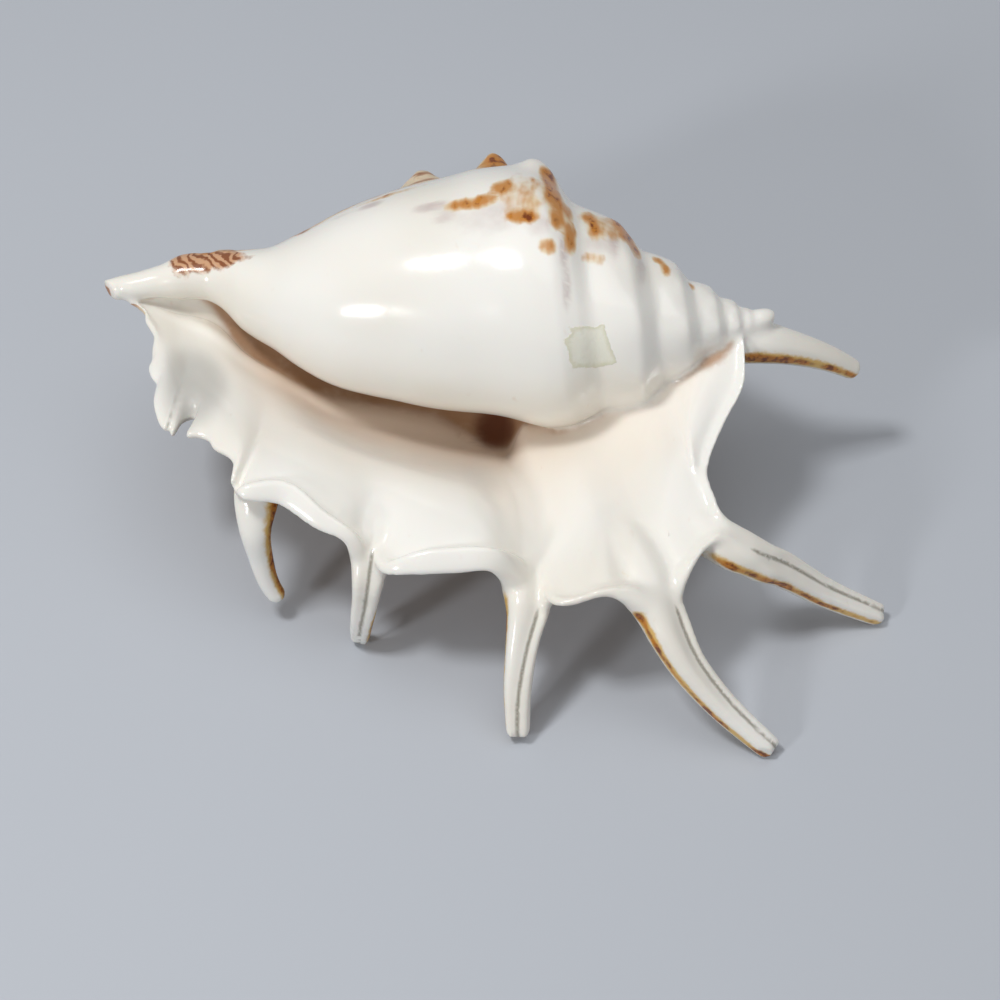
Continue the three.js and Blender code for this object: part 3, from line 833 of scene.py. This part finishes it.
# a finger's own marks: where it is, its brown stripe, its dark seam and its outer side
def fingerMarks(points, finger):
    share = np.linspace(marks["fingerRead"][0], 1, marks["fingerRead"][1])
    centre, upper, right, radius = fingerLine(finger, share)
    tree = placeTree(centre)
    margin = marks["fingerMargin"]
    near = np.flatnonzero(np.all((points > centre.min(axis=0) - margin)
                                 & (points < centre.max(axis=0) + margin), axis=1))
    found = [tree.find(points[i])[1:] for i in near]
    index = np.array([i for i, _ in found])
    away = np.array([distance for _, distance in found])
    offset = points[near] - centre[index]
    height = np.sum(offset * upper[index], axis=1)
    sideways = np.sum(offset * right[index], axis=1)
    turn = np.degrees(np.arctan2(sideways, height))
    angle, width, start, strength = finger["stripe"]
    on = (1 - smoothStep(*marks["fingerFades"], away / radius[index])) * (index > 1)
    before, after = marks["stripeFades"]
    past = smoothStep(start + before, start + after, share[index])
    behind = np.abs((turn - finger.get("outerTurn", 0) + 180) % wholeTurn - 180)
    covered, stripe, seam, outer = np.zeros((4, len(points)))
    covered[near] = on * smoothStep(*marks["fingerFrom"], share[index])
    stripe[near] = on * past * strength * bell((turn - angle) / width)
    outer[near] = smoothStep(*marks["outerFrom"], behind)
    if "tongue" in finger:
        leftShare, facing, across = seamFrame(finger, share, upper, right)
        reach = (radius * widened(finger, share))[index]
        place = np.sum(offset * across[index], axis=1) - (2 * leftShare[index] - 1) * reach
        over = np.sum(offset * facing[index], axis=1) > 0
        tongue = finger["tongue"]
        past = smoothStep(tongue, tongue + marks["seamFades"], share[index])
        seam[near] = on * over * past * bell(place / marks["seamWidth"])
    return covered, stripe, seam, outer


# every mark becomes an attribute of the mesh, which the material reads
def paintMarks(mesh, points, body, lip, edges, counts):
    tree = placeTree(np.concatenate([body.reshape(-1, 3), lip.reshape(-1, 3)]))
    nearest = np.array([tree.find(point)[1] for point in points])
    outer, troughTanAndShade, peach = (part[nearest] for part in skinMarks(body, lip))
    stripe, seam = np.zeros(len(points)), np.zeros(len(points))
    for finger in fingers["walled"] + fingers["plain"]:
        covered, ownStripe, ownSeam, ownOuter = fingerMarks(points, finger)
        stripe = np.maximum(stripe, ownStripe)
        seam = np.maximum(seam, ownSeam)
        outer = mix(outer, ownOuter, covered)
        troughTanAndShade, peach = mix(troughTanAndShade, 0, covered), mix(peach, 0, covered)
    layers = {"outer": outer, "troughTanAndShade": troughTanAndShade, "peach": peach, "stripe": stripe,
              "paintedHoleShade": spots(points, marks["paintedHoleShade"]), "paintedBowlShade": spots(points, marks["paintedBowlShade"])}
    for name in ("brown", "lilac", "neck"):
        layers[name] = spots(points, marks[name], marks["spotDepth"])
    passes, strength = marks["smoothing"]
    for name, values in layers.items():
        for _ in range(passes):
            values = mix(values, neighbourMean(values, edges, counts[:, 0]), strength)
        layers[name] = values
    layers["seam"] = seam
    for name, values in layers.items():
        layer = mesh.attributes.new(name, "FLOAT", "POINT")
        layer.data.foreach_set("value", values)


# the skins of all the parts: the coil, the lip, the fingers and the rolled edges
def drawSkins(body, lip):
    skins = [loftSkin(body), loftSkin(lip)]
    core, sunk = fingers["coreSize"], fingers["coreSunk"]
    skins += [loftSkin(fingerRings(finger, core, sunk)) for finger in fingers["walled"]]
    skins += [loftSkin(fingerRings(finger)) for finger in fingers["plain"]]
    skins += [loftSkin(rollRings(rows)) for rows in rolledEdges()]
    return skins


# points near a skin are put back on it; the distance to a second skin is returned as well
def snapToSkins(points, skins):
    reach = joined["filletReach"]
    nearest = points.copy()
    best = np.full(len(points), reach)
    second = np.full(len(points), reach)
    for skin in skins:
        places, distances = nearestOn(BVHTree.FromBMesh(skin), points, reach)
        closer = distances < best
        second = np.where(closer, best, np.minimum(second, distances))
        nearest[closer] = places[closer]
        best = np.minimum(best, distances)
    return np.where((best < joined["snapReach"])[:, None], nearest, points), second


# the corners where two skins meet are smoothed
def smoothJoints(points, second, edges, counts):
    near = (1 - smoothStep(joined["filletStart"], joined["filletReach"], second))[:, None]
    for _ in range(joined["filletPasses"]):
        moved = neighbourMean(points, edges, counts) - points
        points += near * joined["filletStrength"] * moved


# fewer faces, held inside the box of the solids
def thinOut(shell):
    thin = shell.modifiers.new("thin", "DECIMATE")
    thin.ratio = joined["triangles"] / (2 * len(shell.data.polygons))
    shell.data = bakedMesh(shell)
    shell.modifiers.clear()
    low, high = (np.array(corner) for corner in cadBox)
    writePoints(shell.data, np.clip(readPoints(shell.data), low, high))
    shell.data.shade_smooth()


def makeShell():
    body, lip = bodyRings(), lipSections()
    skins = drawSkins(body, lip)
    print("skins drawn")
    mesh = meltTogether(skins)
    print("melted into", len(mesh.vertices), "points")
    points, second = snapToSkins(readPoints(mesh), skins)
    print("snapped onto the skins")
    edges = np.empty(len(mesh.edges) * 2, int)
    mesh.edges.foreach_get("vertices", edges)
    edges = edges.reshape(-1, 2)
    counts = np.bincount(edges.ravel(), minlength=len(points))[:, None]
    smoothJoints(points, second, edges, counts)
    print("joints smoothed")
    paintMarks(mesh, points, body, lip, edges, counts)
    print("marks painted")
    writePoints(mesh, (points + frameShift) * mm)
    shell = addObject("conchShell", mesh)
    thinOut(shell)
    print("shell has", len(shell.data.polygons), "faces")
    return shell


# a colour given as it looks on a screen, 0 to 255
def tint(red, green, blue):
    linear = []
    for part in (red / 255, green / 255, blue / 255):
        linear.append(part / 12.92 if part < 0.04 else ((part + 0.055) / 1.055) ** 2.4)
    return (*linear, 1)


glaze = {
    "white": tint(245, 243, 237),
    "beige": tint(228, 219, 200),
    "peach": tint(236, 212, 190),
    # tan of the trough: partly its own colour, partly painted shade under the body's edge
    "tanAndTroughShade": tint(176, 136, 102),
    # the dark brown of the painted shade in the hole
    "paintedHoleShade": tint(108, 64, 44),
    # the grey of the painted shade in the bowl behind the notch
    "paintedBowlShade": tint(184, 182, 176),
    "lilac": tint(188, 168, 166),
    "cream": tint(226, 207, 178),
    "chestnut": tint(160, 96, 54),
    "orangeBrown": tint(198, 128, 46),
    "darkBrown": tint(124, 62, 26),
    "ochre": tint(222, 184, 108),
    "seamGrey": tint(138, 132, 118),
    "residue": tint(222, 222, 192),
    "residueEdge": tint(190, 186, 140),
    "glossy": 0.16,
    "dull": 0.45,
    "bump": 0.25,           # mm
    "subsurface": 0.08,
    "subsurfaceDepth": 3.0,
    # noises: size in mm, detail, roughness, stretch of the place along each axis
    "grains": {
        "fine": (1.6, 3.0, 0.55, (1, 1, 1)),
        "broad": (6.0, 3.0, 0.55, (1, 1, 1)),
        "flocks": (15.0, 1.0, 0.55, (1, 1, 1)),
        "clouds": (34.0, 1.0, 0.55, (1, 1, 1)),
        "streaks": (4.2, 4.0, 0.6, (0.35, 1, 1)),
        "blocks": (2.0, 1.5, 0.5, (1, 0.45, 0.45)),
    },
    # coats of colour from the lowest to the top: mark, the grain that breaks its edge, raggedness,
    # where it begins and is full, colour, strength
    "coats": [
        # painted shade: the darkness of the hole
        ("paintedHoleShade", "broad", 0, 0, 1, "paintedHoleShade", 1),
        # painted shade: greys the concave bowl behind the notch
        ("paintedBowlShade", "broad", 0, 0, 0.9, "paintedBowlShade", 0.75),
        ("lilac", "broad", 0.5, 0.1, 0.9, "lilac", 0.7),
        ("outer", "broad", 0.7, 0.34, 0.66, "outside", 1),
        ("brown", "blocks", 0.3, 0.15, 0.45, "ochre", 0.55),
        ("brown", "blocks", 1.0, 0.2, 0.75, "orangeBrown", 0.88),
        ("brown", "blocks", 2.2, 0.75, 1.15, "mottled", 1),
        ("neck", "fine", 0.6, 0.25, 0.75, "orangeBrown", 0.75),
        ("stripe", "fine", 0.5, 0.18, 0.6, "ochre", 1),
        ("stripe", "broad", 1.6, 0.5, 0.9, "mottled", 1),
        ("seam", "fine", 0, 0.2, 1.0, "seamGrey", 0.85),
    ],
    # the glue left on the body: middle, turn and half sizes of its patch, in mm
    "residuePlace": (20.7, 4.4, 51.6),
    "residueTurn": (-55.0, -22.0, -4.0),
    "residueHalf": (4.2, 5.0, 4.0),
    "residueEnds": (1.12, 1.2),
    "residueDarkens": (0.9, 1.15),
}


# adds a node, setting its values and linking its inputs
def addNode(tree, kind, inputs=None, **settings):
    made = tree.nodes.new("ShaderNode" + kind)
    for name, value in settings.items():
        setattr(made, name, value)
    for key, value in (inputs or {}).items():
        if isinstance(value, bpy.types.NodeSocket):
            tree.links.new(value, made.inputs[key])
        else:
            made.inputs[key].default_value = value
    return made


def addMath(tree, operation, *values):
    return addNode(tree, "Math", dict(enumerate(values)), operation=operation).outputs[0]


# a value turned into 0 to 1 between two limits
def addStep(tree, value, low, high):
    inputs = {"Value": value, "From Min": low, "From Max": high}
    return addNode(tree, "MapRange", inputs, interpolation_type="SMOOTHSTEP").outputs[0]


def readMark(tree, name):
    return addNode(tree, "Attribute", attribute_name=name).outputs["Fac"]


# a mark with ragged edges
def raggedMark(tree, name, noise, raggedness, low, high):
    wander = addMath(tree, "MULTIPLY", addMath(tree, "SUBTRACT", noise, 0.5), raggedness)
    return addStep(tree, addMath(tree, "ADD", readMark(tree, name), wander), low, high)


# a colour laid over another where a mark shows
def addCoat(tree, under, mark, colour, strength=1.0):
    share = addMath(tree, "MULTIPLY", mark, strength)
    return addNode(tree, "Mix", {0: share, 6: under, 7: colour}, data_type="RGBA").outputs[2]


# noises of several grains; a stretched one has its place scaled along each axis
def addGrains(tree, place):
    grains = {}
    for name, (size, detail, roughness, stretch) in glaze["grains"].items():
        at = addNode(tree, "Mapping", {"Vector": place, "Scale": stretch}).outputs[0]
        inputs = {"Vector": at, "Scale": 1 / (size * mm), "Detail": detail, "Roughness": roughness}
        grains[name] = addNode(tree, "TexNoise", inputs).outputs[0]
    return grains


# white glaze, warmer towards the opening, with the trough painted tan: partly its own colour, partly
# painted shade under the body's edge
def glazeColour(tree, grains):
    clouds = addStep(tree, grains["clouds"], 0.4, 0.7)
    colour = addCoat(tree, glaze["white"], clouds, glaze["beige"], 0.35)
    colour = addCoat(tree, colour, readMark(tree, "peach"), glaze["peach"], 0.75)
    depth = addStep(tree, grains["broad"], -0.3, 0.6)
    troughTanAndShade = addMath(tree, "MULTIPLY", readMark(tree, "troughTanAndShade"), depth)
    return addCoat(tree, colour, troughTanAndShade, glaze["tanAndTroughShade"], 0.92)


# the unglazed outside: cream with chestnut streaks
def outsideColour(tree, grains):
    dense = addMath(tree, "MULTIPLY", addStep(tree, grains["flocks"], 0.4, 0.62), 0.16)
    chestnut = addStep(tree, addMath(tree, "ADD", grains["streaks"], dense), 0.5, 0.68)
    colour = addCoat(tree, glaze["cream"], chestnut, glaze["chestnut"], 0.8)
    both = addMath(tree, "MULTIPLY", grains["streaks"], grains["broad"])
    return addCoat(tree, colour, addStep(tree, both, 0.3, 0.46), glaze["darkBrown"])


# slanting dark lines on the canal's neck
def neckLines(tree, place, noise):
    lines = addNode(tree, "TexWave", {"Vector": place, "Scale": 240.0,
                    "Distortion": 9.0, "Detail": 3.0}, bands_direction="DIAGONAL").outputs["Fac"]
    lines = addMath(tree, "ADD", lines, addMath(tree, "SUBTRACT", noise, 0.5))
    return addStep(tree, lines, 0.3, 0.95)


# how far a place is from the middle of the dried glue, with torn edges: 1 is the patch's end
def glueReach(tree, place, fine):
    box = addNode(tree, "Mapping", {
        "Vector": place,
        "Location": [part * mm for part in glaze["residuePlace"]],
        "Rotation": [math.radians(part) for part in glaze["residueTurn"]],
        "Scale": [part * mm for part in glaze["residueHalf"]]}, vector_type="TEXTURE")
    apart = addNode(tree, "SeparateXYZ", {0: box.outputs[0]})
    sizes = [addMath(tree, "ABSOLUTE", apart.outputs[k]) for k in range(3)]
    reach = addMath(tree, "MAXIMUM", addMath(tree, "MAXIMUM", sizes[0], sizes[1]), sizes[2])
    return addMath(tree, "ADD", reach, addMath(tree, "MULTIPLY", fine, 0.42))


def shellMaterial():
    made = bpy.data.materials.new("porcelainGlaze")
    made.use_nodes = True
    tree = made.node_tree
    shader = tree.nodes["Principled BSDF"]
    place = addNode(tree, "TexCoord").outputs["Object"]
    grains = addGrains(tree, place)
    fine, broad = grains["fine"], grains["broad"]

    mottled = addStep(tree, fine, 0.42, 0.62)
    brown = addCoat(tree, glaze["orangeBrown"], mottled, glaze["darkBrown"])
    colours = {**glaze, "outside": outsideColour(tree, grains), "mottled": brown}
    colour = glazeColour(tree, grains)
    shown = {}
    for mark, grain, ragged, begins, full, name, strength in glaze["coats"]:
        shown[mark] = raggedMark(tree, mark, grains[grain], ragged, begins, full)
        colour = addCoat(tree, colour, shown[mark], colours[name], strength)
    lines = addMath(tree, "MULTIPLY", shown["neck"], neckLines(tree, place, broad))
    colour = addCoat(tree, colour, lines, glaze["darkBrown"], 0.85)

    # dried glue: a clear yellowish film, darker at its edges
    torn = glueReach(tree, place, fine)
    film = addMath(tree, "SUBTRACT", 1.0, addStep(tree, torn, *glaze["residueEnds"]))
    edge = addMath(tree, "MULTIPLY", film, addStep(tree, torn, *glaze["residueDarkens"]))
    colour = addCoat(tree, colour, film, glaze["residue"], 0.35)
    colour = addCoat(tree, colour, edge, glaze["residueEdge"], 0.35)
    tree.links.new(colour, shader.inputs["Base Color"])

    rough = addMath(tree, "MULTIPLY", shown["outer"], glaze["dull"] - glaze["glossy"])
    tree.links.new(addMath(tree, "ADD", rough, glaze["glossy"]), shader.inputs["Roughness"])
    grain = addMath(tree, "MULTIPLY", shown["outer"], grains["streaks"])
    grain = addMath(tree, "ADD", grain, addMath(tree, "MULTIPLY", broad, 0.35))
    grain = addMath(tree, "ADD", grain, addMath(tree, "MULTIPLY", film, fine))
    bump = addNode(tree, "Bump", {"Height": grain, "Distance": glaze["bump"] * mm,
                                            "Strength": 0.6})
    tree.links.new(bump.outputs[0], shader.inputs["Normal"])
    shader.inputs["Subsurface Weight"].default_value = glaze["subsurface"]
    shader.inputs["Subsurface Scale"].default_value = glaze["subsurfaceDepth"] * mm
    return made


floor = {"size": 3.0, "colour": (0.50, 0.53, 0.58, 1), "roughness": 0.6}

camera = {
    "target": (2.0, 6.26, 0.0),     # mm
    "distance": 0.6,
    "elevation": 50.0,
    "lens": 97.2,
    "sensor": 36.0,
}

lights = [
    # name, place, size, power
    ("leftWindow", (-0.74, -0.70, 0.50), 0.15, 3.2),
    ("upperWindow", (-0.29, -0.07, 0.76), 0.14, 2.6),
    ("topSoft", (0.15, 0.1, 1.1), 0.9, 2.6),
    ("rightFill", (0.9, -0.5, 0.5), 0.8, 0.9),
]
worldStrength = 0.24


def makeFloor():
    sheet = bmesh.new()
    bmesh.ops.create_grid(sheet, x_segments=1, y_segments=1, size=floor["size"] / 2)
    mesh = bpy.data.meshes.new("floor")
    sheet.to_mesh(mesh)
    pale = bpy.data.materials.new("paleFloor")
    pale.use_nodes = True
    shader = pale.node_tree.nodes["Principled BSDF"]
    shader.inputs["Base Color"].default_value = floor["colour"]
    shader.inputs["Roughness"].default_value = floor["roughness"]
    mesh.materials.append(pale)
    made = addObject("floor", mesh)


def makeLights():
    for name, place, size, power in lights:
        lamp = bpy.data.lights.new(name, "AREA")
        lamp.size = size
        lamp.energy = power
        made = addObject(name, lamp)
        made.location = place
        made.rotation_euler = (-Vector(place)).to_track_quat("-Z", "Y").to_euler()
    world = bpy.data.worlds.new("studio")
    world.use_nodes = True
    world.node_tree.nodes["Background"].inputs["Color"].default_value = (1, 1, 1, 1)
    world.node_tree.nodes["Background"].inputs["Strength"].default_value = worldStrength
    bpy.context.scene.world = world
    bpy.context.scene.view_settings.view_transform = "Standard"


def makeCamera():
    lens = bpy.data.cameras.new("camera")
    lens.lens = camera["lens"]
    lens.sensor_width = camera["sensor"]
    made = addObject("camera", lens)
    turn = math.radians(camera["elevation"])
    back = Vector((0, -math.cos(turn), math.sin(turn)))
    made.location = Vector(camera["target"]) * mm + back * camera["distance"]
    made.rotation_euler = (-back).to_track_quat("-Z", "Y").to_euler()
    bpy.context.scene.camera = made


shell = makeShell()
shell.data.materials.clear()
shell.data.materials.append(shellMaterial())
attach(shell, "root")
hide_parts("shell")
makeFloor()
makeLights()
makeCamera()
print("scene is set")
